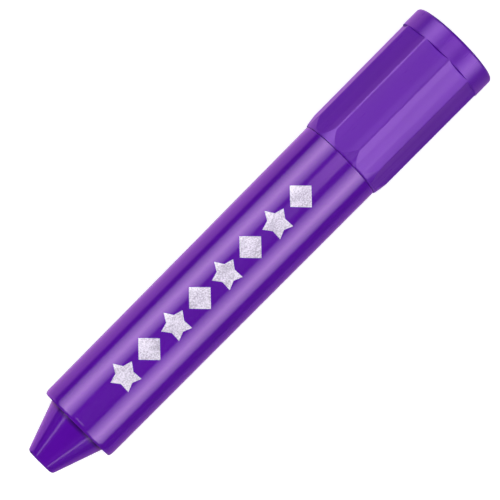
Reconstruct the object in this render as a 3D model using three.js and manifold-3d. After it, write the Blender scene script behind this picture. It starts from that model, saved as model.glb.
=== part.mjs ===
// A twist-up jumbo crayon in a capped plastic case, lying on its side. Millimetres, +Z up.
// The case's axis runs along X: the tapered twist knob is at -X and the fluted cap at +X.
// The origin is under the middle of the crayon, on the surface that it lies on.
// Inside the assembly group, x counts from the knob's blunt end and the case's axis is y = z = 0.

import * as THREE from 'three';
import { mergeVertices } from 'three/addons/utils/BufferGeometryUtils.js';
import Module from 'manifold-3d';

const wasm = await Module();
wasm.setup();

// ---- Driving dimensions -------------------------------------------------------------------

const totalLength = 118.0;
const seam = 0.2;              // gap left where two hidden pieces meet
const openSeam = 0.06;         // gap at the two joins that show
const outerSides = 60;         // sides of the round outer surfaces
const innerSides = 36;         // sides of the round inner pieces
const arcSteps = 3;            // straight steps in a rounded edge

const knobLength = 10.4;
const knobEndRadius = 3.3;
const knobBaseRadius = 7.0;
const knobEndRounding = 0.5;

const shankRadius = 4.4;
const shankEnd = 17.0;
const barbRadius = 5.0;
const barbStart = 14.3;
const snapSlotWidth = 1.0;
const socketRadius = 2.55;     // across the corners of the hexagonal socket
const socketStart = 5.6;

const barrelStart = knobLength + openSeam;
const barrelEnd = 85.0;
const barrelTailRadius = 9.0;
const barrelFrontRadius = 9.3;
const barrelEdgeRounding = 0.45;
const barrelBoreRadius = 7.8;
const endWallThickness = 3.5;
const shankHoleRadius = 4.6;

const ringGrooveStart = 11.6;
const ringGrooveWidth = 1.2;
const ringGrooveRadius = 3.6;
const dragRingSection = 0.45;

const sleeveStart = 46.0;
const sleeveRadius = 7.6;
const sleeveBoreRadius = 6.5;
const neckStart = barrelEnd + seam;
const neckEnd = 93.0;
const neckRadius = 8.3;
const neckRounding = 0.4;
const snapBeadRadius = 8.45;
const snapBeadCentre = 90.0;
const snapBeadHalfLength = 0.8;
const lipBoreRadius = 5.9;
const lipLength = 2.0;
const keywayReach = 7.0;
const keywayWidth = 2.4;
const keywayEnd = 88.6;

const screwLead = 8.0;
const screwLobeRadius = 2.4;
const screwWaistRadius = 1.5;
const screwTailRadius = 2.3;   // across the corners of the hexagonal tail
const screwTailStart = 6.0;
const screwCollarRadius = 3.6;
const screwCollarThickness = 1.3;
const screwEnd = 56.5;
const screwClearance = 0.25;
const helixStep = 0.5;         // length of one straight step along the helix
const lobeSides = 14;          // sides of the screw's cross-section

const stemStart = 24.0;
const stemRadius = 4.2;
const stemBoreRadius = 2.9;
const nutLength = 8.0;
const cupStart = 54.0;
const cupFloor = 58.0;
const cupFloorThickness = 1.0;
const cupEnd = 64.5;
const cupRadius = 6.25;
const cupBoreRadius = 5.65;
const keyReach = 6.8;
const keyWidth = 1.8;
const keyStart = 56.0;
const keyLength = 5.0;

const stickRadius = 5.5;
const stickEnd = 91.8;
const stickTipRounding = 1.6;

const capStart = barrelEnd + openSeam;
const capMouthRadius = 9.45;
const mouthEdgeLength = 0.3;   // the mouth's outer edge is eased
const mouthEdgeRadius = 9.65;
const flareLength = 2.9;
const flareRadius = 10.12;     // where the lands begin; they widen to the end ring's radius
const capRadius = 10.2;        // the plain end ring
const capEdgeRounding = 0.7;
const fluteCount = 10;
const fluteEnd = 113.4;
const fluteDepth = 0.58;
const fluteRadius = 32.0;      // each flute is a shallow hollow, nearly flat
const fluteSides = 144;        // sides of the full circle that a flute is part of
const flutePhaseDegrees = 7.2; // turn of the first land from straight up, towards -Y
const capMouthBoreRadius = 8.65;
const capBoreRadius = 8.0;
const capLedge = 94.9;         // where the cap's bore narrows, behind the seal
const capEndWall = 1.6;

const sealStart = neckEnd + seam;
const sealThickness = 1.4;
const sealOuterRadius = 8.45;
const sealInnerRadius = 6.6;
const sealRounding = 0.3;

// A flat of the many-sided end ring is what touches the surface below.
const axisHeight = capRadius * Math.cos(Math.PI / outerSides);

// ---- Materials ----------------------------------------------------------------------------

function plastic(name, colour, roughness) {
  return new THREE.MeshStandardMaterial({ name, color: colour, roughness, metalness: 0 });
}

const casePurple = 0x5c21ad;
const capPurple = 0x6a33b0;
const waxPurple = 0x552a9c;
const naturalWhite = 0xe6e4de;
const rubberBlack = 0x242226;
const sealWhite = 0xd8d5cf;

// ---- Shape helpers ------------------------------------------------------------------------

// Turns a closed geometry into a manifold solid, with its faces pointing out.
function solid(geometry) {
  const bare = geometry.clone();
  bare.deleteAttribute('normal');
  bare.deleteAttribute('uv');
  const merged = mergeVertices(bare, 1e-4);
  const corners = merged.attributes.position.array;
  const triangles = [];
  let volume = 0;
  for (let i = 0; i < merged.index.count; i += 3) {
    const [a, b, c] = [0, 1, 2].map((k) => merged.index.getX(i + k));
    if (a === b || b === c || c === a) continue;
    triangles.push(a, b, c);
    const [p, q, r] = [a, b, c].map((v) => new THREE.Vector3().fromArray(corners, 3 * v));
    volume += p.dot(q.cross(r));
  }
  const triVerts = Uint32Array.from(volume < 0 ? triangles.reverse() : triangles);
  const vertProperties = Float32Array.from(corners);
  return new wasm.Manifold(new wasm.Mesh({ numProp: 3, vertProperties, triVerts }));
}

// Turns a solid back into a named mesh.
function part(name, shape, material) {
  const { vertProperties, triVerts } = shape.getMesh();
  const geometry = new THREE.BufferGeometry();
  geometry.setAttribute('position', new THREE.BufferAttribute(vertProperties, 3));
  geometry.setIndex(new THREE.BufferAttribute(triVerts, 1));
  geometry.computeVertexNormals();
  const mesh = new THREE.Mesh(geometry, material);
  mesh.name = name;
  return mesh;
}

// An outline for a lathe from corners [x, radius, rounding]; a corner with a rounding becomes an arc.
function outline(corners) {
  const points = [];
  corners.forEach(([x, radius, rounding = 0], i) => {
    const corner = new THREE.Vector2(radius, x);
    if (rounding === 0) {
      points.push(corner);
      return;
    }
    const [xBefore, radiusBefore] = corners[i - 1];
    const [xAfter, radiusAfter] = corners[i + 1];
    const back = new THREE.Vector2(radiusBefore, xBefore).sub(corner).normalize();
    const ahead = new THREE.Vector2(radiusAfter, xAfter).sub(corner).normalize();
    const halfAngle = Math.acos(back.dot(ahead)) / 2;
    const inward = back.clone().add(ahead).normalize();
    const centre = corner.clone().addScaledVector(inward, rounding / Math.sin(halfAngle));
    const start = corner.clone().addScaledVector(back, rounding / Math.tan(halfAngle)).sub(centre);
    const sweep = Math.sign(start.cross(inward.clone().negate())) * (Math.PI - 2 * halfAngle);
    for (let k = 0; k <= arcSteps; k += 1) {
      const spoke = start.clone().rotateAround(new THREE.Vector2(), (sweep * k) / arcSteps);
      points.push(spoke.add(centre));
    }
  });
  return points;
}

// Half a side's turn puts a flat, not a corner, straight down.
function turned(corners, sides) {
  const geometry = new THREE.LatheGeometry(outline(corners), sides, Math.PI / sides);
  return solid(geometry.rotateZ(-Math.PI / 2));
}

// A piece with a through hole: its outline closes on itself.
function turnedRing(corners, sides) {
  return turned([...corners, corners[0].slice(0, 2)], sides);
}

function rod(start, end, radius, sides) {
  return turned([[start, 0], [start, radius], [end, radius], [end, 0]], sides);
}

function bar(start, end, sizeY, sizeZ) {
  const geometry = new THREE.BoxGeometry(end - start, sizeY, sizeZ);
  return solid(geometry.translate((start + end) / 2, 0, 0));
}

// An oval rod twisted into a two-start, left-hand helix: a clockwise turn, seen from the knob, feeds forward.
function helix(start, end, lobeRadius, waistRadius) {
  const oval = new THREE.Shape();
  oval.absellipse(0, 0, lobeRadius, waistRadius, 0, 2 * Math.PI, false, 0);
  const section = new THREE.Shape(oval.getSpacedPoints(lobeSides).slice(0, -1));
  const steps = Math.round((end - start) / helixStep);
  const geometry = new THREE.ExtrudeGeometry(section, { depth: end - start, steps, bevelEnabled: false });
  const position = geometry.attributes.position;
  const point = new THREE.Vector3();
  const axis = new THREE.Vector3(0, 0, 1);
  for (let i = 0; i < position.count; i += 1) {
    point.fromBufferAttribute(position, i);
    point.applyAxisAngle(axis, (-2 * Math.PI * (point.z + start)) / screwLead);
    position.setXYZ(i, point.x, point.y, point.z);
  }
  return solid(geometry.rotateX(Math.PI / 2).rotateZ(Math.PI / 2).translate(start, 0, 0));
}

// ---- Case: barrel and neck sleeve -------------------------------------------------------------

function barrelTube() {
  const boreStart = barrelStart + endWallThickness;
  const tube = turnedRing([
    [barrelStart, shankHoleRadius],
    [barrelStart, barrelTailRadius, barrelEdgeRounding],
    [barrelEnd, barrelFrontRadius],
    [barrelEnd, barrelBoreRadius],
    [boreStart, barrelBoreRadius],
    [boreStart, shankHoleRadius],
  ], outerSides);
  return part('barrel_tube', tube, plastic('barrel_plastic', casePurple, 0.22));
}

// The sleeve guides the holder's keys inside the barrel; its neck is what the cap snaps on to.
function neckSleeve() {
  const lipStart = neckEnd - lipLength;
  const body = turnedRing([
    [sleeveStart, sleeveBoreRadius],
    [sleeveStart, sleeveRadius],
    [neckStart, sleeveRadius],
    [neckStart, neckRadius],
    [snapBeadCentre - snapBeadHalfLength, neckRadius],
    [snapBeadCentre, snapBeadRadius],
    [snapBeadCentre + snapBeadHalfLength, neckRadius],
    [neckEnd, neckRadius, neckRounding],
    [neckEnd, lipBoreRadius],
    [lipStart, lipBoreRadius],
    [lipStart, sleeveBoreRadius],
  ], innerSides);
  const keyways = bar(sleeveStart - 1, keywayEnd, 2 * keywayReach, keywayWidth);
  return part('neck_sleeve', body.subtract(keyways), plastic('neck_plastic', naturalWhite, 0.35));
}

// ---- Twist drive: knob, drag ring and lead screw ------------------------------------------------

function twistKnob() {
  const grooveEnd = ringGrooveStart + ringGrooveWidth;
  const body = turned([
    [0, 0],
    [0, knobEndRadius, knobEndRounding],
    [knobLength, knobBaseRadius],
    [knobLength, shankRadius],
    [ringGrooveStart, shankRadius],
    [ringGrooveStart, ringGrooveRadius],
    [grooveEnd, ringGrooveRadius],
    [grooveEnd, shankRadius],
    [barbStart, shankRadius],
    [barbStart, barbRadius],
    [shankEnd, shankRadius - snapSlotWidth / 4],
    [shankEnd, 0],
  ], outerSides);
  const socket = rod(socketStart, shankEnd + 1, socketRadius, 6);
  const slotStart = grooveEnd + seam;
  const slots = bar(slotStart, shankEnd + 1, 3 * barbRadius, snapSlotWidth)
    .add(bar(slotStart, shankEnd + 1, snapSlotWidth, 3 * barbRadius));
  return part('twist_knob', body.subtract(socket).subtract(slots), plastic('knob_plastic', casePurple, 0.24));
}

function dragRing() {
  const centreRadius = (ringGrooveRadius + shankHoleRadius) / 2;
  const geometry = new THREE.TorusGeometry(centreRadius, dragRingSection, 10, innerSides);
  const x = ringGrooveStart + ringGrooveWidth / 2;
  return part('drag_ring', solid(geometry.rotateY(Math.PI / 2).translate(x, 0, 0)),
    plastic('drag_ring_rubber', rubberBlack, 0.7));
}

function leadScrew() {
  const collarStart = shankEnd + seam;
  const collarEnd = collarStart + screwCollarThickness;
  const tail = rod(screwTailStart, collarEnd, screwTailRadius, 6);
  const collar = rod(collarStart, collarEnd, screwCollarRadius, innerSides);
  const threads = helix(collarEnd - helixStep, screwEnd, screwLobeRadius, screwWaistRadius);
  return part('lead_screw', tail.add(collar).add(threads), plastic('screw_plastic', naturalWhite, 0.4));
}

// ---- Feed: stick holder and wax stick -----------------------------------------------------------

function stickHolder() {
  const body = turned([
    [stemStart, 0],
    [stemStart, stemRadius],
    [cupStart - (cupRadius - stemRadius), stemRadius],
    [cupStart, cupRadius],
    [cupEnd, cupRadius],
    [cupEnd, 0],
  ], innerSides);
  const keys = bar(keyStart, keyStart + keyLength, 2 * keyReach, keyWidth);
  const cup = rod(cupFloor, cupEnd + 1, cupBoreRadius, innerSides);
  const nutEnd = stemStart + nutLength;
  const stemBore = rod(nutEnd, cupFloor - cupFloorThickness, stemBoreRadius, innerSides);
  const nut = helix(stemStart - helixStep, nutEnd + helixStep,
    screwLobeRadius + screwClearance, screwWaistRadius + screwClearance);
  const shape = body.add(keys).subtract(cup).subtract(stemBore).subtract(nut);
  return part('stick_holder', shape, plastic('holder_plastic', naturalWhite, 0.4));
}

function waxStick() {
  const stick = turned([
    [cupFloor + seam, 0],
    [cupFloor + seam, stickRadius],
    [stickEnd, stickRadius, stickTipRounding],
    [stickEnd, 0],
  ], innerSides);
  return part('wax_stick', stick, plastic('wax', waxPurple, 0.5));
}

// ---- Cap: shell and seal ------------------------------------------------------------------------

// A flute runs from the cap's mouth to the end ring, parallel to the lands beside it.
function flute(index) {
  const length = fluteEnd - capStart + 1;
  const geometry = new THREE.CylinderGeometry(fluteRadius, fluteRadius, length, fluteSides);
  const draft = Math.atan((capRadius - flareRadius) / (fluteEnd - capStart - flareLength));
  geometry.rotateZ(Math.PI / 2);
  geometry.translate(-length / 2, 0, fluteRadius).rotateY(-draft);
  geometry.translate(fluteEnd, 0, capRadius - fluteDepth);
  const phase = THREE.MathUtils.degToRad(flutePhaseDegrees);
  return solid(geometry.rotateX(phase + ((index + 0.5) * 2 * Math.PI) / fluteCount));
}

// Ten flutes are cut along a round shell; the flare at the mouth gives each one its rounded lower end.
function capShell() {
  const blank = turned([
    [capStart, 0],
    [capStart, capMouthRadius],
    [capStart + mouthEdgeLength, mouthEdgeRadius],
    [capStart + flareLength, flareRadius],
    [fluteEnd, capRadius],
    [totalLength, capRadius, capEdgeRounding],
    [totalLength, 0],
  ], outerSides);
  const bore = turned([
    [capStart - 1, 0],
    [capStart - 1, capMouthBoreRadius],
    [capLedge, capMouthBoreRadius],
    [capLedge, capBoreRadius],
    [totalLength - capEndWall, capBoreRadius],
    [totalLength - capEndWall, 0],
  ], outerSides);
  let shell = blank.subtract(bore);
  for (let index = 0; index < fluteCount; index += 1) {
    shell = shell.subtract(flute(index));
  }
  return part('cap_shell', shell, plastic('cap_plastic', capPurple, 0.28));
}

function capSeal() {
  const seal = turnedRing([
    [sealStart, sealInnerRadius],
    [sealStart, sealOuterRadius, sealRounding],
    [sealStart + sealThickness, sealOuterRadius],
    [sealStart + sealThickness, sealInnerRadius],
  ], innerSides);
  return part('cap_seal', seal, plastic('seal_rubber', sealWhite, 0.6));
}

// ---- Assembly -----------------------------------------------------------------------------

const caseGroup = new THREE.Group().add(barrelTube(), neckSleeve());
const driveGroup = new THREE.Group().add(twistKnob(), dragRing(), leadScrew());
const feedGroup = new THREE.Group().add(stickHolder(), waxStick());
const capGroup = new THREE.Group().add(capShell(), capSeal());

const assembly = new THREE.Group().add(caseGroup, driveGroup, feedGroup, capGroup);
assembly.position.set(-totalLength / 2, 0, axisHeight);

const crayon = new THREE.Group().add(assembly);

export default crayon;
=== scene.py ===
"""A twist-up jumbo crayon in a capped purple plastic case, lying on a pale floor."""

import math

import bmesh
import bpy
from mathutils import Matrix, Vector


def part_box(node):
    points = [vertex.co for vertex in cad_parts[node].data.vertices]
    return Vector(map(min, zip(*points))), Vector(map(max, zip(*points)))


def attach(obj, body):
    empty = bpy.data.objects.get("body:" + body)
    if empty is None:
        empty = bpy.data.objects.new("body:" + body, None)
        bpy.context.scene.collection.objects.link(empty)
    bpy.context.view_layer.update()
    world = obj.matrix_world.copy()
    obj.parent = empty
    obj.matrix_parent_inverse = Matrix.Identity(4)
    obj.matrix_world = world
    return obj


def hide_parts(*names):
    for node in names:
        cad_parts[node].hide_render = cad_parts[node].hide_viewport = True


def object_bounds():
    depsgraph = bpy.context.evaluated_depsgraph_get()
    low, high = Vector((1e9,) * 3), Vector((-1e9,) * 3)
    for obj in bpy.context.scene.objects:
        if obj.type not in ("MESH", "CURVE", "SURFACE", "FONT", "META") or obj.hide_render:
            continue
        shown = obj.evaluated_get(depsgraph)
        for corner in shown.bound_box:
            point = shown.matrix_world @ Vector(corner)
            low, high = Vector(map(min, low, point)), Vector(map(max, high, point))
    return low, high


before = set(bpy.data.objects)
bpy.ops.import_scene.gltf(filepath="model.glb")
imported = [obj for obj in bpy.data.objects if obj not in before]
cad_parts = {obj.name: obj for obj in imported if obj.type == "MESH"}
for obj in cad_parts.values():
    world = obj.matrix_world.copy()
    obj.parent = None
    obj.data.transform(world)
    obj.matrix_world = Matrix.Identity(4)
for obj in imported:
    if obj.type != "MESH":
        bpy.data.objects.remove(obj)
cad_low, cad_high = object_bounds()

# ---- Barrel ------------------------------------------------------------------------------
# The long round case is one moulding of polypropylene, glossy from a polished mould. It is a
# little wider at the cap end, so that it leaves the mould, and its tail end wall has a hole
# for the knob's shank. The same violet plastic makes the knob and the cap.

MM = 0.001
ROUND_STEPS = 180
HAIR = 0.002 * MM
SPECK = HAIR / 4

barrel_low, barrel_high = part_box("barrel_tube")
AXIS_Z = (barrel_low.z + barrel_high.z) / 2
TAIL_X = cad_low.x

BARREL_TAIL_RADIUS = 9.0 * MM
BARREL_FRONT_RADIUS = 9.3 * MM
BARREL_BORE_RADIUS = 7.8 * MM
BARREL_END_WALL = 3.5 * MM
SHANK_HOLE_RADIUS = 4.6 * MM
TAIL_EDGE_LENGTH = 1.15 * MM
TAIL_EDGE_DEPTH = 0.45 * MM
EDGE_STEPS = 10
RIM_ROUNDING = 0.06 * MM


def turned(corners):
    """Spins an outline of (x, radius) corners once round the crayon's axis."""
    shape = bmesh.new()
    verts = [shape.verts.new((x, 0, AXIS_Z + radius)) for x, radius in corners]
    edges = [shape.edges.new(pair) for pair in zip(verts, verts[1:])]
    bmesh.ops.spin(shape, geom=verts + edges, cent=(0, 0, AXIS_Z), axis=(1, 0, 0),
                   angle=2 * math.pi, steps=ROUND_STEPS, use_merge=True)
    bmesh.ops.remove_doubles(shape, verts=shape.verts, dist=SPECK)
    bmesh.ops.recalc_face_normals(shape, faces=shape.faces)
    return shape


def eased_edge(x, radius, length, depth):
    """The outline of a tube's outer edge that rounds off over this length and depth."""
    angles = [math.pi / 2 * (1 - k / EDGE_STEPS) for k in range(EDGE_STEPS + 1)]
    return [(x + length * (1 - math.sin(a)), radius - depth * (1 - math.cos(a))) for a in angles]


def radius_of(point):
    """How far a point is from the crayon's axis."""
    return math.hypot(point.y, point.z - AXIS_Z)


def round_over(shape, x, radius, rounding, segments=4):
    """Rounds off the circular edge at this place along the axis and this radius."""
    rim = [edge for edge in shape.edges
           if all(abs(vert.co.x - x) < HAIR and abs(radius_of(vert.co) - radius) < HAIR
                  for vert in edge.verts)]
    bmesh.ops.bevel(shape, geom=rim, offset=rounding, offset_type="OFFSET", segments=segments,
                    profile=0.5, affect="EDGES", material=-1)


def placed(name, shape, finish):
    """Makes an object from a shape and puts it in the scene."""
    mesh = bpy.data.meshes.new(name)
    shape.to_mesh(mesh)
    shape.free()
    mesh.materials.append(finish)
    thing = bpy.data.objects.new(name, mesh)
    bpy.context.scene.collection.objects.link(thing)
    return thing


def finished(name, shape, finish, body, slot, *nodes, crisp=24):
    """Makes a piece of the crayon from a shape and hands it to its body.

    Edges that turn by more than the crisp angle, in degrees, stay sharp.
    """
    for face in shape.faces:
        face.smooth = True
    for edge in shape.edges:
        edge.smooth = edge.calc_face_angle(0) < math.radians(crisp)
    piece = placed(name, shape, finish)
    weighted = piece.modifiers.new("flat faces stay flat", "WEIGHTED_NORMAL")
    weighted.mode = "FACE_AREA"
    weighted.weight = 100
    weighted.keep_sharp = True
    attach(piece, body)
    if nodes:
        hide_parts(*nodes)
    return piece


class Signal:
    """One value or colour on its way through a finish's nodes."""

    def __init__(self, finish, socket):
        self.finish = finish
        self.socket = socket

    def __add__(self, other):
        return self.finish.maths("ADD", self, other)

    def __radd__(self, other):
        return self.finish.maths("ADD", other, self)

    def __sub__(self, other):
        return self.finish.maths("SUBTRACT", self, other)

    def __rsub__(self, other):
        return self.finish.maths("SUBTRACT", other, self)

    def __mul__(self, other):
        return self.finish.maths("MULTIPLY", self, other)

    def __rmul__(self, other):
        return self.finish.maths("MULTIPLY", other, self)

    def __truediv__(self, other):
        return self.finish.maths("DIVIDE", self, other)


class Finish:
    """A material under construction, with one Principled surface."""

    def __init__(self, name, **constants):
        self.material = bpy.data.materials.new(name)
        self.material.use_nodes = True
        self.tree = self.material.node_tree
        self.surface = self.tree.nodes["Principled BSDF"]
        for socket, value in constants.items():
            self.feed(self.surface.inputs[socket.replace("_", " ")], value)

    def feed(self, socket, value):
        if isinstance(value, Signal):
            self.tree.links.new(value.socket, socket)
        else:
            socket.default_value = value

    def node(self, kind, settings=None, sockets=None, output=0):
        """Adds a node: its settings first, then the values or links of its sockets."""
        made = self.tree.nodes.new(kind)
        for name, value in (settings or {}).items():
            if name == "stops":
                ramp = made.color_ramp.elements
                while len(ramp) < len(value):
                    ramp.new(0.5)
                for element, (place, colour) in zip(ramp, value):
                    element.position = place
                    element.color = colour
            else:
                setattr(made, name, value)
        for name, value in (sockets or {}).items():
            self.feed(made.inputs[name], value)
        return Signal(self, made.outputs[output])

    def maths(self, operation, *values, clamp=False):
        """Adds a Math node. A clamped result stays between 0 and 1."""
        settings = {"operation": operation, "use_clamp": clamp}
        return self.node("ShaderNodeMath", settings, dict(enumerate(values)))

    def place(self, stretch=(1, 1, 1)):
        """Object coordinates, stretched by a factor along each axis."""
        spot = self.node("ShaderNodeTexCoord", output="Object")
        return self.node("ShaderNodeMapping", {}, {"Vector": spot, "Scale": stretch})

    def coordinate(self, axis):
        """One of the object's own coordinates, in metres."""
        spot = self.node("ShaderNodeTexCoord", output="Object")
        return self.node("ShaderNodeSeparateXYZ", {}, {0: spot}, output=axis)

    def noise(self, place, per_metre, detail):
        """Soft random patches, with about this many to a metre."""
        return self.node("ShaderNodeTexNoise", {}, {
            "Vector": place, "Scale": per_metre, "Detail": detail, "Roughness": 0.5})

    def ramp(self, value, *stops):
        return self.node("ShaderNodeValToRGB", {"stops": stops}, {"Fac": value})

    def mixed(self, share, under, over):
        return self.node("ShaderNodeMix", {"data_type": "RGBA"}, {0: share, 6: under, 7: over},
                         output=2)

    def patched(self, pattern, low, high, under, over):
        """Goes from one colour to another as a pattern rises from low to high."""
        return self.mixed(self.ramp(pattern, (low, BLACK), (high, WHITE)), under, over)

    def wear(self, colour, roughness, height, bump, depth):
        """Feeds what varies over the surface. The bump has this strength and depth."""
        self.feed(self.surface.inputs["Base Color"], colour)
        self.feed(self.surface.inputs["Roughness"], roughness)
        relief = self.node("ShaderNodeBump", {}, {
            "Strength": bump, "Distance": depth, "Height": height})
        self.feed(self.surface.inputs["Normal"], relief)


def varied(middle, pattern, swing):
    """A value that a pattern from 0 to 1 moves about its middle, by this swing in all."""
    return middle + (pattern - 0.5) * swing


BLACK = (0, 0, 0, 1)
WHITE = (1, 1, 1, 1)
VIOLET = (0.114, 0.0036, 0.412, 1)
DEEP_VIOLET = (0.098, 0.0028, 0.365, 1)
VIOLET_SHEEN = (1.0, 0.64, 0.94, 1)
# Painted shade: this dark violet, laid on near a joint, stands in for the shade there, and the
# gloss is dulled a little with it.
JOINT_SHADE = (0.030, 0.0012, 0.110, 1)
JOINT_SHADE_DULLING = 0.1


def moulded_violet(name, roughness=0.13, shine=0.5, joint_shade=None):
    """Glossy violet plastic: faint flow clouds in the colour, a soft mould ripple, fine rub marks.

    The band given along the axis, from where it begins to where it is darkest, is painted shade:
    the plastic darkens there and its gloss dulls.
    """
    finish = Finish(name, IOR=1.5, Specular_Tint=VIOLET_SHEEN, Specular_IOR_Level=shine)
    flow = finish.noise(finish.place((0.4, 1, 1)), per_metre=110, detail=3)
    colour = finish.patched(flow, 0.35, 0.7, VIOLET, DEEP_VIOLET)
    rubs = finish.noise(finish.place((0.06, 1, 1)), per_metre=5200, detail=3)
    ripple = finish.noise(finish.place((0.5, 1, 1)), per_metre=420, detail=1)
    gloss = varied(varied(roughness, rubs, swing=0.07), flow, swing=0.04)
    # Painted shade: darker violet with duller gloss, laid on a band along the axis where a joint
    # falls into shade.
    if joint_shade:
        begins, darkest = joint_shade
        along = finish.coordinate("X")
        share = finish.maths("DIVIDE", along - begins, darkest - begins, clamp=True)
        colour = finish.mixed(share, colour, JOINT_SHADE)
        gloss = gloss + share * JOINT_SHADE_DULLING
    finish.wear(colour, gloss, height=ripple + rubs * 0.06, bump=0.10, depth=0.05 * MM)
    return finish.material


barrel_bore_x = barrel_low.x + BARREL_END_WALL
barrel = turned([
    (barrel_low.x, SHANK_HOLE_RADIUS),
    *eased_edge(barrel_low.x, BARREL_TAIL_RADIUS, TAIL_EDGE_LENGTH, TAIL_EDGE_DEPTH),
    (barrel_high.x, BARREL_FRONT_RADIUS),
    (barrel_high.x, BARREL_BORE_RADIUS),
    (barrel_bore_x, BARREL_BORE_RADIUS),
    (barrel_bore_x, SHANK_HOLE_RADIUS),
    (barrel_low.x, SHANK_HOLE_RADIUS),
])
round_over(barrel, barrel_high.x, BARREL_FRONT_RADIUS, RIM_ROUNDING)
round_over(barrel, barrel_high.x, BARREL_BORE_RADIUS, RIM_ROUNDING)
round_over(barrel, barrel_low.x, SHANK_HOLE_RADIUS, RIM_ROUNDING)
finished("barrel_moulding", barrel, moulded_violet("barrel_violet"), "case", "case_plastic",
         "barrel_tube")

# ---- Silver foil print ---------------------------------------------------------------------
# A plain border of stars and diamonds in turn, evenly spaced, is hot-stamped on the barrel in
# silver foil. The foil is thinner than a hair and follows the round of the barrel.

PRINT_START = 21.1 * MM
PRINT_LENGTH = 55.4 * MM
PRINT_TURN = math.radians(2.8)
PAIRS = 4
SHAPE_HALF_LENGTH = 2.95 * MM
SHAPE_HALF_WIDTH = 3.1 * MM
STAR_POINTS = 5
STAR_NOTCH = 0.58
FOIL_THICKNESS = 0.03 * MM
FOIL_LIFT = 0.006 * MM
STRIP = 0.35 * MM
FOIL_SHADE = (0.34, 0.315, 0.385, 1)
FOIL_SHINE = (0.62, 0.585, 0.67, 1)


def barrel_radius(x):
    """The barrel's outer radius at this place along the axis."""
    share = (x - barrel_low.x) / (barrel_high.x - barrel_low.x)
    return BARREL_TAIL_RADIUS + share * (BARREL_FRONT_RADIUS - BARREL_TAIL_RADIUS)


def straight_sided(corners, steps=6):
    """An outline that runs straight between these corners, in short steps."""
    outline = []
    for (ax, ay), (bx, by) in zip(corners, corners[1:] + corners[:1]):
        outline += [(ax + (bx - ax) * k / steps, ay + (by - ay) * k / steps) for k in range(steps)]
    return outline


def star():
    """A star's outline, with a point and a notch in turn."""
    corners = []
    for k in range(2 * STAR_POINTS):
        reach = 1 if k % 2 == 0 else STAR_NOTCH
        turn = math.pi * k / STAR_POINTS
        corners.append((-reach * math.sin(turn), reach * math.cos(turn)))
    return straight_sided(corners)


def diamond():
    return straight_sided([(1, 0), (0, 1), (-1, 0), (0, -1)])


def to_size(outline):
    """Stretches an outline to a shape's full length and width."""
    (low_x, high_x), (low_y, high_y) = [(min(side), max(side)) for side in zip(*outline)]
    return [((2 * (x - low_x) / (high_x - low_x) - 1) * SHAPE_HALF_LENGTH,
             (2 * (y - low_y) / (high_y - low_y) - 1) * SHAPE_HALF_WIDTH) for x, y in outline]


def stamped(shapes):
    """Cuts each flat shape into narrow strips, gives it a thickness and wraps it on the barrel."""
    foil = bmesh.new()
    pitch = (PRINT_LENGTH - 2 * SHAPE_HALF_LENGTH) / (len(shapes) - 1)
    for place, outline in enumerate(shapes):
        middle = TAIL_X + PRINT_START + SHAPE_HALF_LENGTH + pitch * place
        verts = [foil.verts.new((middle + x, y, 0)) for x, y in to_size(outline)]
        rim = [foil.edges.new(pair) for pair in zip(verts, verts[1:] + verts[:1])]
        bmesh.ops.edgeloop_fill(foil, edges=rim)
    for k in range(round(2 * SHAPE_HALF_WIDTH / STRIP)):
        cut = (0, k * STRIP - SHAPE_HALF_WIDTH, 0)
        everything = foil.verts[:] + foil.edges[:] + foil.faces[:]
        bmesh.ops.bisect_plane(foil, geom=everything, plane_co=cut, plane_no=(0, 1, 0))
    for face in foil.faces:
        face.normal_update()
        if face.normal.z < 0:
            face.normal_flip()
    bmesh.ops.solidify(foil, geom=foil.faces[:], thickness=FOIL_THICKNESS)
    lowest = min(vert.co.z for vert in foil.verts)
    for vert in foil.verts:
        lift = barrel_radius(vert.co.x) + FOIL_LIFT + vert.co.z - lowest
        angle = vert.co.y / barrel_radius(vert.co.x) + PRINT_TURN
        vert.co = (vert.co.x, lift * math.sin(angle), AXIS_Z + lift * math.cos(angle))
    bmesh.ops.recalc_face_normals(foil, faces=foil.faces)
    return foil


def silver_foil():
    """Satin silver with a fine sparkle grain and soft brighter and duller patches."""
    finish = Finish("silver_foil", Metallic=0.3)
    grain = finish.noise(finish.place(), per_metre=3600, detail=3)
    patches = finish.noise(finish.place((0.5, 1, 1)), per_metre=700, detail=3)
    share = grain * 0.7 + patches * 0.3
    tone = finish.ramp(share, (0.40, FOIL_SHADE), (0.58, FOIL_SHINE))
    finish.wear(tone, varied(0.45, patches, swing=0.2), height=grain, bump=0.35, depth=0.03 * MM)
    return finish.material


finished("foil_print", stamped([star(), diamond()] * PAIRS), silver_foil(), "case", "foil_print")

# ---- Neck sleeve --------------------------------------------------------------------------
# An inner sleeve of natural polypropylene is pressed into the barrel. Two keyways in its bore
# guide the stick holder, and its neck has a low snap bead and a rim that the seal closes on.

SLEEVE_RADIUS = 7.6 * MM
SLEEVE_BORE_RADIUS = 6.5 * MM
NECK_RADIUS = 8.3 * MM
NECK_START = 0.2 * MM
BEAD_RADIUS = 8.45 * MM
BEAD_FROM_RIM = 3.0 * MM
BEAD_HALF_LENGTH = 0.8 * MM
LIP_BORE_RADIUS = 5.9 * MM
LIP_LENGTH = 2.0 * MM
KEYWAY_RADIUS = 7.0 * MM
KEYWAY_HALF_WIDTH = 1.25 * MM
KEYWAY_FROM_RIM = 4.4 * MM
NECK_RIM_ROUNDING = 0.4 * MM
LIP_ROUNDING = 0.25 * MM
BEAD_ROUNDING = 0.35 * MM
SIDE_FACE = 0.5
MILK_WHITE = (0.78, 0.77, 0.74, 1)
MILK_SHADE = (0.70, 0.69, 0.655, 1)


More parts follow.
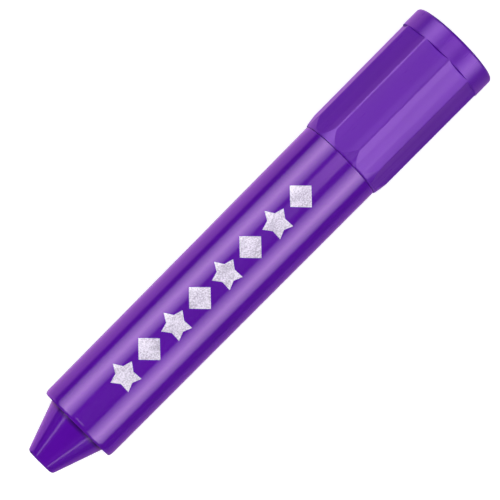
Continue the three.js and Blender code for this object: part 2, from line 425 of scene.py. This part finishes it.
def natural_plastic(name):
    """Uncoloured, slightly milky plastic with a satin skin and faint flow marks."""
    finish = Finish(name, IOR=1.49)
    flow = finish.noise(finish.place((0.3, 1, 1)), per_metre=240, detail=3)
    tone = finish.patched(flow, 0.3, 0.7, MILK_WHITE, MILK_SHADE)
    skin = finish.noise(finish.place(), per_metre=2600, detail=2)
    finish.wear(tone, varied(0.34, skin, swing=0.12), height=skin, bump=0.12, depth=0.03 * MM)
    return finish.material


sleeve_low, sleeve_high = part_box("neck_sleeve")
neck_x = barrel_high.x + NECK_START
bead_x = sleeve_high.x - BEAD_FROM_RIM
keyway_x = sleeve_high.x - KEYWAY_FROM_RIM
lip_x = sleeve_high.x - LIP_LENGTH
sleeve = turned([
    (sleeve_low.x, SLEEVE_BORE_RADIUS),
    (sleeve_low.x, SLEEVE_RADIUS),
    (neck_x, SLEEVE_RADIUS),
    (neck_x, NECK_RADIUS),
    (bead_x - BEAD_HALF_LENGTH, NECK_RADIUS),
    (bead_x, BEAD_RADIUS),
    (bead_x + BEAD_HALF_LENGTH, NECK_RADIUS),
    (sleeve_high.x, NECK_RADIUS),
    (sleeve_high.x, LIP_BORE_RADIUS),
    (lip_x, LIP_BORE_RADIUS),
    (lip_x, SLEEVE_BORE_RADIUS),
    (keyway_x, SLEEVE_BORE_RADIUS),
    (sleeve_low.x, SLEEVE_BORE_RADIUS),
])
round_over(sleeve, sleeve_high.x, NECK_RADIUS, NECK_RIM_ROUNDING, segments=5)
round_over(sleeve, sleeve_high.x, LIP_BORE_RADIUS, LIP_ROUNDING)
round_over(sleeve, bead_x, BEAD_RADIUS, BEAD_ROUNDING)
keyways = [face for face in sleeve.faces
           if face.calc_center_median().x < keyway_x
           and abs(face.normal.x) < SIDE_FACE
           and all(abs(radius_of(vert.co) - SLEEVE_BORE_RADIUS) < HAIR for vert in face.verts)
           and all(abs(vert.co.z - AXIS_Z) < KEYWAY_HALF_WIDTH for vert in face.verts)]
cut = bmesh.ops.extrude_face_region(sleeve, geom=keyways)
bmesh.ops.delete(sleeve, geom=keyways, context="FACES")
for vert in [part for part in cut["geom"] if isinstance(part, bmesh.types.BMVert)]:
    vert.co.y *= KEYWAY_RADIUS / SLEEVE_BORE_RADIUS
finished("neck_sleeve_moulding", sleeve, natural_plastic("neck_natural"), "case", "neck_plastic",
         "neck_sleeve")

# ---- Twist knob -----------------------------------------------------------------------------
# The tapered tail is the knob: a violet moulding with a blunt end. Its hollow shank goes
# through the barrel's end wall and snaps behind it with a barb. A socket inside takes the
# screw's tail, and a groove round the shank holds the drag ring.

KNOB_END_RADIUS = 3.3 * MM
KNOB_BASE_RADIUS = 7.0 * MM
KNOB_LENGTH = 10.4 * MM
KNOB_END_ROUNDING = 0.55 * MM
SHANK_RADIUS = 4.4 * MM
GROOVE_START = 11.6 * MM
GROOVE_END = 12.8 * MM
GROOVE_RADIUS = 3.6 * MM
BARB_START = 14.3 * MM
BARB_RADIUS = 5.0 * MM
BARB_TIP_RADIUS = 4.15 * MM
SOCKET_START = 5.6 * MM
SOCKET_RADIUS = 2.3 * MM
# How far the painted shade at the knob's joint with the barrel reaches back from the knob's base.
JOINT_SHADE_REACH = 0.9 * MM

knob_low, knob_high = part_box("twist_knob")
knob_x = knob_low.x
base_x = knob_x + KNOB_LENGTH
knob = turned([
    (knob_x, 0),
    (knob_x, KNOB_END_RADIUS),
    (base_x, KNOB_BASE_RADIUS),
    (base_x, SHANK_RADIUS),
    (knob_x + GROOVE_START, SHANK_RADIUS),
    (knob_x + GROOVE_START, GROOVE_RADIUS),
    (knob_x + GROOVE_END, GROOVE_RADIUS),
    (knob_x + GROOVE_END, SHANK_RADIUS),
    (knob_x + BARB_START, SHANK_RADIUS),
    (knob_x + BARB_START, BARB_RADIUS),
    (knob_high.x, BARB_TIP_RADIUS),
    (knob_high.x, SOCKET_RADIUS),
    (knob_x + SOCKET_START, SOCKET_RADIUS),
    (knob_x + SOCKET_START, 0),
])
round_over(knob, knob_x, KNOB_END_RADIUS, KNOB_END_ROUNDING, segments=8)
round_over(knob, base_x, KNOB_BASE_RADIUS, RIM_ROUNDING)
# The knob's violet gets painted shade over its last stretch before the barrel, standing in for the
# shade at that joint.
finished("knob_moulding", knob, moulded_violet("knob_violet", joint_shade=(base_x - JOINT_SHADE_REACH, base_x)),
         "drive", "knob_plastic", "twist_knob")

# ---- Wax stick ------------------------------------------------------------------------------
# The crayon itself is a cast stick of violet wax. Its skin is satin, a shade duller than the
# case, with fine casting streaks along it, and its unused tip is turned to a blunt dome.

STICK_RADIUS = 5.5 * MM
STICK_TIP_RADIUS = 3.0 * MM
STICK_TIP_LENGTH = 1.6 * MM
STICK_TIP_ROUNDING = 0.9 * MM
WAX = (0.100, 0.020, 0.300, 1)
WAX_SHADE = (0.075, 0.013, 0.240, 1)
WAX_SCATTER = (0.0008, 0.0004, 0.0012)


def wax():
    """Satin wax that light sinks into a little, with streaks along it and fine pits."""
    finish = Finish("violet_wax", IOR=1.43, Subsurface_Weight=0.08, Subsurface_Radius=WAX_SCATTER)
    streaks = finish.noise(finish.place((0.15, 1, 1)), per_metre=900, detail=4)
    pits = finish.noise(finish.place(), per_metre=3000, detail=3)
    tone = finish.patched(streaks, 0.35, 0.65, WAX, WAX_SHADE)
    finish.wear(tone, varied(0.42, pits, swing=0.25), height=streaks * 0.5 + pits, bump=0.3,
                depth=0.05 * MM)
    return finish.material


stick_low, stick_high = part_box("wax_stick")
stick = turned([
    (stick_low.x, 0),
    (stick_low.x, STICK_RADIUS),
    (stick_high.x - STICK_TIP_LENGTH, STICK_RADIUS),
    (stick_high.x, STICK_TIP_RADIUS),
    (stick_high.x, 0),
])
round_over(stick, stick_high.x - STICK_TIP_LENGTH, STICK_RADIUS, STICK_TIP_ROUNDING, segments=6)
round_over(stick, stick_high.x, STICK_TIP_RADIUS, STICK_TIP_ROUNDING, segments=6)
finished("wax_stick_cast", stick, wax(), "feed", "wax", "wax_stick")

# ---- Cap ------------------------------------------------------------------------------------
# The push-on cap is one violet moulding, closed at its end. Ten long flutes, so shallow that
# they look flat, are moulded along it from the flared mouth to a plain end ring, where each
# stops in a small step. Narrow lands stay between them.

CAP_MOUTH_RADIUS = 9.45 * MM
CAP_RADIUS = 10.2 * MM
MOUTH_EDGE_RADIUS = 9.65 * MM
MOUTH_EDGE_LENGTH = 0.3 * MM
FLARE_LENGTH = 2.9 * MM
LAND_DRAFT = 0.08 * MM
RING_LENGTH = 4.6 * MM
CAP_END_ROUNDING = 0.7 * MM
CAP_MOUTH_BORE = 8.65 * MM
CAP_BORE = 8.0 * MM
CAP_LEDGE = 9.8 * MM
CAP_END_WALL = 1.6 * MM
FLUTES = 10
FLUTE_PHASE = math.radians(7.2)
LAND_DEPTH = 0.44 * MM
FLUTE_HOLLOW = 0.14 * MM
FLUTE_STRIPS = 10
STEP_LENGTH = 0.25 * MM
FLOOR_FACING = 0.9999
LAND_EASING = 0.1 * MM
LAND_EDGE_LENGTH = 3 * MM
LAND_EDGE_ANGLE = math.radians(7)

cap_low, cap_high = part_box("cap_shell")
flare_end_x = cap_low.x + FLARE_LENGTH
ring_x = cap_high.x - RING_LENGTH
cap = turned([
    (cap_high.x - CAP_END_WALL, 0),
    (cap_high.x - CAP_END_WALL, CAP_BORE),
    (cap_low.x + CAP_LEDGE, CAP_BORE),
    (cap_low.x + CAP_LEDGE, CAP_MOUTH_BORE),
    (cap_low.x, CAP_MOUTH_BORE),
    (cap_low.x, CAP_MOUTH_RADIUS),
    (cap_low.x + MOUTH_EDGE_LENGTH, MOUTH_EDGE_RADIUS),
    (flare_end_x, CAP_RADIUS),
    (ring_x, CAP_RADIUS),
    (cap_high.x, CAP_RADIUS),
    (cap_high.x, 0),
])
round_over(cap, cap_high.x, CAP_RADIUS, CAP_END_ROUNDING, segments=12)
round_over(cap, cap_low.x, CAP_MOUTH_BORE, RIM_ROUNDING)
round_over(cap, cap_low.x, CAP_MOUTH_RADIUS, RIM_ROUNDING)


def fluted_stretch(shape):
    """The faces of the cap's outside between its mouth edge and its ring."""
    low = cap_low.x + MOUTH_EDGE_LENGTH - HAIR
    return [face for face in shape.faces
            if all(low < vert.co.x < ring_x + HAIR and radius_of(vert.co) > MOUTH_EDGE_RADIUS - HAIR
                   for vert in face.verts)]


def split(shape, faces, point, normal):
    """Cuts these faces along a plane."""
    geometry = set(faces)
    for face in faces:
        geometry.update(face.verts, face.edges)
    bmesh.ops.bisect_plane(shape, geom=list(geometry), dist=SPECK, plane_co=point,
                           plane_no=normal)


def cut_flute(shape, turn):
    """Cuts a flat, closes it and its step at the ring, then hollows it slightly."""
    outward = Vector((0, -math.sin(turn), math.cos(turn)))
    across = Vector((0, math.cos(turn), math.sin(turn)))
    axis = Vector((0, 0, AXIS_Z))
    chord = CAP_RADIUS - LAND_DEPTH
    split(shape, fluted_stretch(shape), axis + outward * chord, outward)
    above = [face for face in fluted_stretch(shape)
             if (face.calc_center_median() - axis).dot(outward) > chord + SPECK]
    bmesh.ops.delete(shape, geom=above, context="FACES")
    open_edges = [edge for edge in shape.edges if edge.is_boundary]
    arc = [edge for edge in open_edges if all(abs(v.co.x - ring_x) < HAIR for v in edge.verts)]
    corners = [v for v in {v for edge in arc for v in edge.verts}
               if (v.co - axis).dot(outward) < chord + HAIR / 2]
    step_edge = shape.edges.new(corners)
    bmesh.ops.edgeloop_fill(shape, edges=arc + [step_edge])
    floor_edges = [edge for edge in open_edges if edge not in arc] + [step_edge]
    floor = bmesh.ops.edgeloop_fill(shape, edges=floor_edges)["faces"]
    half_width = max(abs(v.co.dot(across) - axis.dot(across)) for v in floor[0].verts)
    for k in range(1, FLUTE_STRIPS):
        shift = half_width * (2 * k / FLUTE_STRIPS - 1)
        split(shape, floor, axis + across * shift, across)
        floor = [face for face in shape.faces if face.normal.dot(outward) > FLOOR_FACING
                 and abs((face.calc_center_median() - axis).dot(outward) - chord) < HAIR]
    slope = (CAP_RADIUS - MOUTH_EDGE_RADIUS) / (FLARE_LENGTH - MOUTH_EDGE_LENGTH)
    for vert in {vert for face in floor for vert in face.verts}:
        share = (vert.co - axis).dot(across) / half_width
        depth = FLUTE_HOLLOW * max(0, 1 - share * share)
        vert.co -= outward * depth
        if vert.co.x < flare_end_x:
            vert.co.x = max(vert.co.x - depth / slope, cap_low.x + MOUTH_EDGE_LENGTH + HAIR)
        else:
            vert.co.x -= STEP_LENGTH * depth / FLUTE_HOLLOW


for k in range(FLUTES):
    cut_flute(cap, FLUTE_PHASE + (k + 0.5) * 2 * math.pi / FLUTES)
for vert in cap.verts:
    if vert.co.x < ring_x and radius_of(vert.co) > MOUTH_EDGE_RADIUS:
        behind = min(1, (ring_x - vert.co.x) / (ring_x - flare_end_x))
        shrink = 1 - behind * LAND_DRAFT / CAP_RADIUS
        vert.co = (vert.co.x, vert.co.y * shrink, AXIS_Z + (vert.co.z - AXIS_Z) * shrink)
bmesh.ops.recalc_face_normals(cap, faces=cap.faces)
land_edges = [edge for edge in cap.edges
              if flare_end_x - HAIR < min(v.co.x for v in edge.verts)
              and max(v.co.x for v in edge.verts) < ring_x
              and abs(edge.verts[0].co.x - edge.verts[1].co.x) > LAND_EDGE_LENGTH
              and edge.calc_face_angle(0) > LAND_EDGE_ANGLE]
bmesh.ops.bevel(cap, geom=land_edges, offset=LAND_EASING, segments=4, profile=0.5,
                affect="EDGES", material=-1)
finished("cap_moulding", cap, moulded_violet("cap_violet", roughness=0.29, shine=0.42),
         "cap", "cap_plastic", "cap_shell", crisp=9)

# ---- Hidden pieces ----------------------------------------------------------------------------
# The screw, the holder, the drag ring and the seal keep their own shapes and get their
# finishes: natural plastic for the feed, dark rubber for the ring, pale rubber for the seal.

DARK_RUBBER = (0.018, 0.018, 0.020, 1)
DARK_BLOOM = (0.035, 0.034, 0.036, 1)
PALE_RUBBER = (0.62, 0.60, 0.57, 1)
PALE_BLOOM = (0.52, 0.50, 0.47, 1)


def moulded_rubber(name, colour, shade):
    """Matt rubber with a fine bloom."""
    finish = Finish(name, IOR=1.5)
    bloom = finish.noise(finish.place(), per_metre=1800, detail=4)
    tone = finish.patched(bloom, 0.35, 0.7, colour, shade)
    finish.wear(tone, varied(0.62, bloom, swing=0.2), height=bloom, bump=0.2, depth=0.03 * MM)
    return finish.material


HIDDEN = {
    "lead_screw": natural_plastic("screw_natural"),
    "stick_holder": natural_plastic("holder_natural"),
    "drag_ring": moulded_rubber("ring_rubber", DARK_RUBBER, DARK_BLOOM),
    "cap_seal": moulded_rubber("seal_rubber", PALE_RUBBER, PALE_BLOOM),
}
for node, finish in HIDDEN.items():
    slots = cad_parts[node].data.materials
    slots.clear()
    slots.append(finish)

# ---- Studio -----------------------------------------------------------------------------------
# A pale table lies under the crayon and a wide softbox over it. The plastic mirrors curved light
# banks: long ones along both sides, weak ones low down, cards over the cap and past the tail, and
# two narrow lines farther out, with a flat card facing the tail. The camera doesn't see them.

TABLE_HALF = 3.0
SOFTBOX_SIDE = 1.2
SOFTBOX_HEIGHT = 1.2
SOFTBOX_POWER = 20
TABLE_COLOUR = (0.80, 0.80, 0.81, 1)
TABLE_GLOW = 0.62
BANK_DISTANCE = 0.5
BANK_STEPS = 48
BANK_SPAN = (-0.34, 0.5)
CAP_CARD_SPAN = (0.048, 0.5)
TAIL_CARD_SPAN = (-0.165, -0.100)
LINE_SPAN = (-0.60, -0.36)
END_CARD_X = -0.5
END_CARD_HALF = 0.45
END_CARD_GLOW = 0.4
FLOOR_BOUNCE = (1.15, 0.52, 1.4)
CARD_TINT = (1.05, 0.86, 1.2)
BACKDROP_COLOUR = (0.92, 0.93, 0.95, 1)
BACKDROP_GLOW = 0.04

centre = (cad_low + cad_high) / 2


def glowing(name, **constants):
    """A finish that only gives light."""
    return Finish(name, Base_Color=BLACK, Roughness=1.0, Specular_IOR_Level=0, **constants)


def staged(name, shape, finish, seen=True):
    """Puts up a thing that isn't part of the crayon."""
    thing = placed(name, shape, finish)
    thing.visible_camera = seen
    return thing


table = bmesh.new()
bmesh.ops.create_grid(table, x_segments=2, y_segments=2, size=TABLE_HALF)
bmesh.ops.translate(table, verts=table.verts, vec=(0, 0, cad_low.z - HAIR))
table_top = Finish("pale_table", Base_Color=TABLE_COLOUR, Roughness=0.9, Specular_IOR_Level=0,
                   Emission_Color=WHITE, Emission_Strength=TABLE_GLOW)
staged("table", table, table_top.material).visible_glossy = False


def light_bank(name, angles, strength, edge_share, tint=(1, 1, 1), span=BANK_SPAN):
    """A curved bank that is brightest at its peak and dims towards both edges.

    The angles are those of its near edge, its peak and its far edge, in degrees off the vertical,
    and positive on the crayon's +Y side. An edge has this share of the peak's strength.
    """
    near, peak, far = [math.radians(angle) for angle in angles]
    bank = bmesh.new()
    side = BANK_DISTANCE * math.sin(near)
    height = AXIS_Z + BANK_DISTANCE * math.cos(near)
    ends = [bank.verts.new((x, side, height)) for x in span]
    edge = bank.edges.new(ends)
    bmesh.ops.spin(bank, geom=ends + [edge], cent=(0, 0, AXIS_Z), axis=(-1, 0, 0),
                   angle=far - near, steps=BANK_STEPS)
    glow = glowing(name, Emission_Strength=1.0)
    angle = glow.maths("ARCTAN2", glow.coordinate("Y"), glow.coordinate("Z") - AXIS_Z)
    rising = (angle - near) / (peak - near)
    falling = (far - angle) / (far - peak)
    share = glow.maths("MINIMUM", rising, falling, clamp=True)
    brightness = (share * (1 - edge_share) + edge_share) * strength
    colour = glow.node("ShaderNodeCombineColor", {}, {k: brightness * tint[k] for k in range(3)})
    glow.feed(glow.surface.inputs["Emission Color"], colour)
    staged(name, bank, glow.material, seen=False).visible_diffuse = False


light_bank("left_bank", (26, 52, 80), strength=8.0, edge_share=0.18)
light_bank("right_bank", (-31, -60, -86), strength=8.0, edge_share=0.18)
light_bank("low_left_bank", (96, 104, 165), strength=1.4, edge_share=0.65, tint=FLOOR_BOUNCE)
light_bank("low_right_bank", (-116, -140, -170), strength=0.45, edge_share=0.8, tint=FLOOR_BOUNCE)
light_bank("cap_card", (-15, 0, 15), strength=2.9, edge_share=0.9, tint=CARD_TINT,
           span=CAP_CARD_SPAN)
light_bank("tail_card", (-14, 0, 14), strength=3.5, edge_share=0.95, span=TAIL_CARD_SPAN)
light_bank("left_line", (47, 53, 59), strength=3.6, edge_share=0.2, span=LINE_SPAN)
light_bank("right_line", (-60, -66, -72), strength=3.6, edge_share=0.2, span=LINE_SPAN)

end_card = bmesh.new()
bmesh.ops.create_grid(end_card, x_segments=2, y_segments=2, size=END_CARD_HALF)
bmesh.ops.rotate(end_card, verts=end_card.verts, matrix=Matrix.Rotation(math.pi / 2, 3, "Y"))
bmesh.ops.translate(end_card, verts=end_card.verts, vec=(END_CARD_X, 0, 0))
end_glow = glowing("end_card", Emission_Color=(*FLOOR_BOUNCE, 1), Emission_Strength=END_CARD_GLOW)
staged("end_card", end_card, end_glow.material, seen=False).visible_diffuse = False

softbox = bpy.data.lights.new("softbox", "AREA")
softbox.shape = "SQUARE"
softbox.size = SOFTBOX_SIDE
softbox.energy = SOFTBOX_POWER
lamp = bpy.data.objects.new("softbox", softbox)
lamp.location = (centre.x, 0, SOFTBOX_HEIGHT)
lamp.visible_glossy = False
bpy.context.scene.collection.objects.link(lamp)

surroundings = bpy.data.worlds.new("surroundings")
surroundings.use_nodes = True
backdrop = surroundings.node_tree.nodes["Background"]
backdrop.inputs["Color"].default_value = BACKDROP_COLOUR
backdrop.inputs["Strength"].default_value = BACKDROP_GLOW
bpy.context.scene.world = surroundings
bpy.context.scene.view_settings.view_transform = "Standard"

# The camera looks down on the crayon from above its tail half, turned so that the cap points
# up and to the right.

CAMERA_FOOT = 23.8 * MM
CAMERA_RISE = 637 * MM
AIM = 59.45 * MM
CAMERA_SIDE = 0.1 * MM
PICTURE_TURN = math.radians(45.2)
LENS = 229.7
SENSOR_WIDTH = 36
CLIP_START = 0.01
CLIP_END = 20

eye = Vector((TAIL_X + CAMERA_FOOT, CAMERA_SIDE, AXIS_Z + CAMERA_RISE))
target = Vector((TAIL_X + AIM, CAMERA_SIDE, AXIS_Z))
forward = (target - eye).normalized()
along = (Vector((1, 0, 0)) - forward * forward.x).normalized()
down_right = forward.cross(along)
right = along * math.cos(PICTURE_TURN) + down_right * math.sin(PICTURE_TURN)
up = along * math.sin(PICTURE_TURN) - down_right * math.cos(PICTURE_TURN)

lens = bpy.data.cameras.new("camera")
lens.lens = LENS
lens.sensor_width = SENSOR_WIDTH
lens.clip_start = CLIP_START
lens.clip_end = CLIP_END
camera = bpy.data.objects.new("camera", lens)
camera.matrix_world = Matrix.Translation(eye) @ Matrix((right, up, -forward)).transposed().to_4x4()
bpy.context.scene.collection.objects.link(camera)
bpy.context.scene.camera = camera
